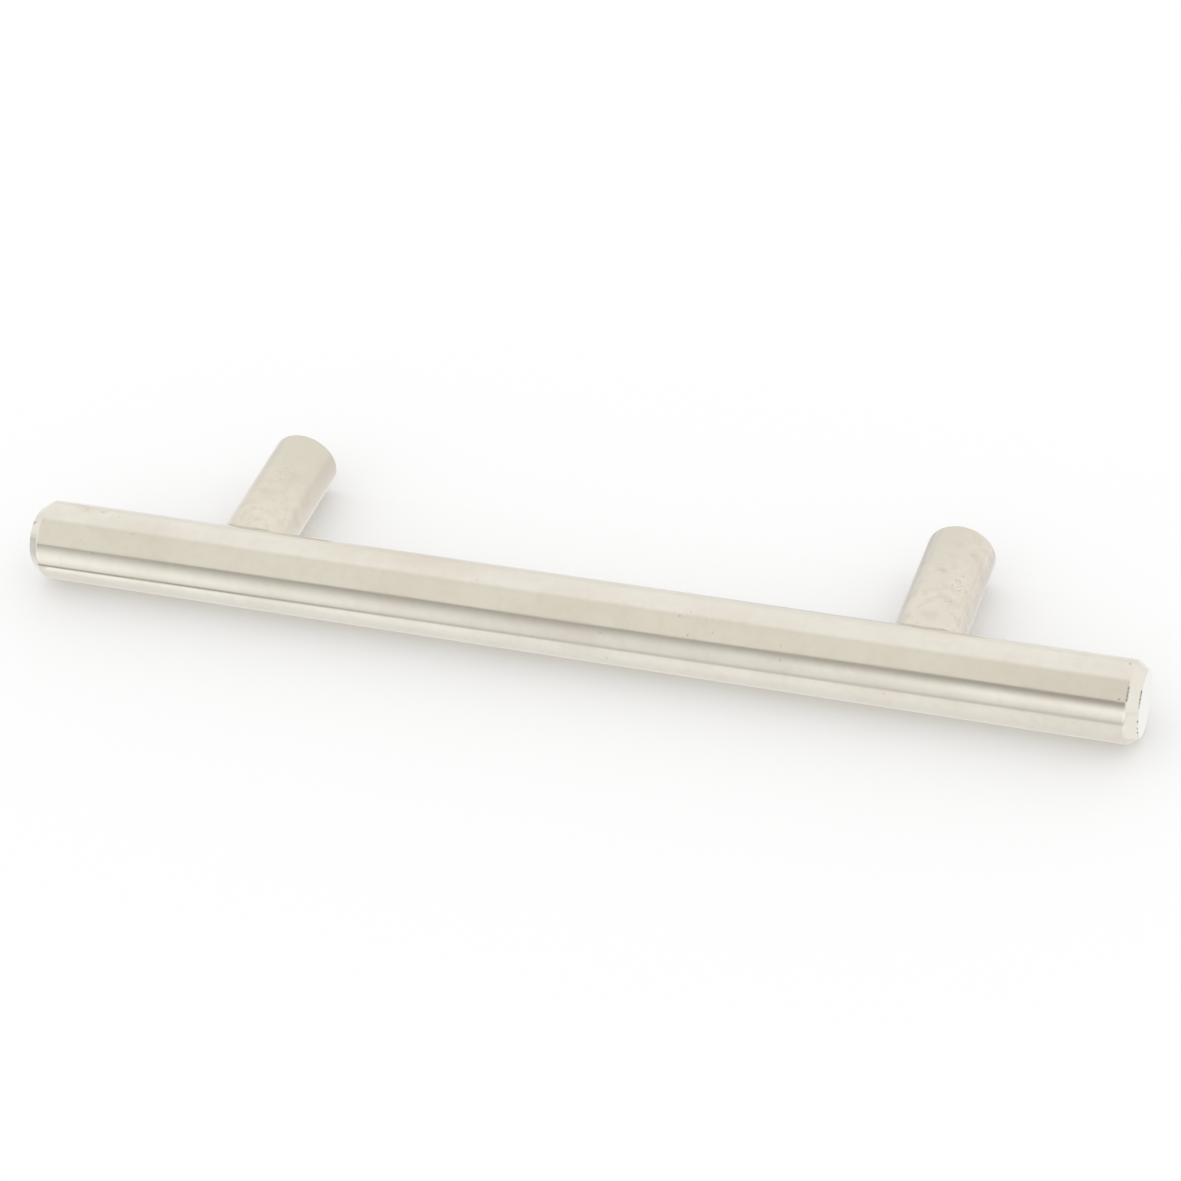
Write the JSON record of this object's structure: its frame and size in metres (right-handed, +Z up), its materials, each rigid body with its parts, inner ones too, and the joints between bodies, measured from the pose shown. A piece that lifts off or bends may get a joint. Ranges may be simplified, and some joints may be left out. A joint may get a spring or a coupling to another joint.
{
  "type": "t bar cabinet pull",
  "caption": "Straight round bar handle with chamfered ends, held off a door or drawer front by round posts that are fixed from behind with machine screws.",
  "frame": {"origin": "in the plane of the two post feet, which meets the door, midway between the two screw holes", "axes": "+X along the bar, +Y from the bar to the door, +Z up when the pull is fixed level"},
  "size_m": [0.156, 0.03, 0.011],
  "materials": {
    "polished_nickel": "polished",
    "stud_steel": "satin"
  },
  "bodies": {
    "root": {"bar": "polished_nickel", "left_post": "polished_nickel", "right_post": "polished_nickel", "left_joining_stud": "stud_steel", "right_joining_stud": "stud_steel"}
  },
  "joints": []
}
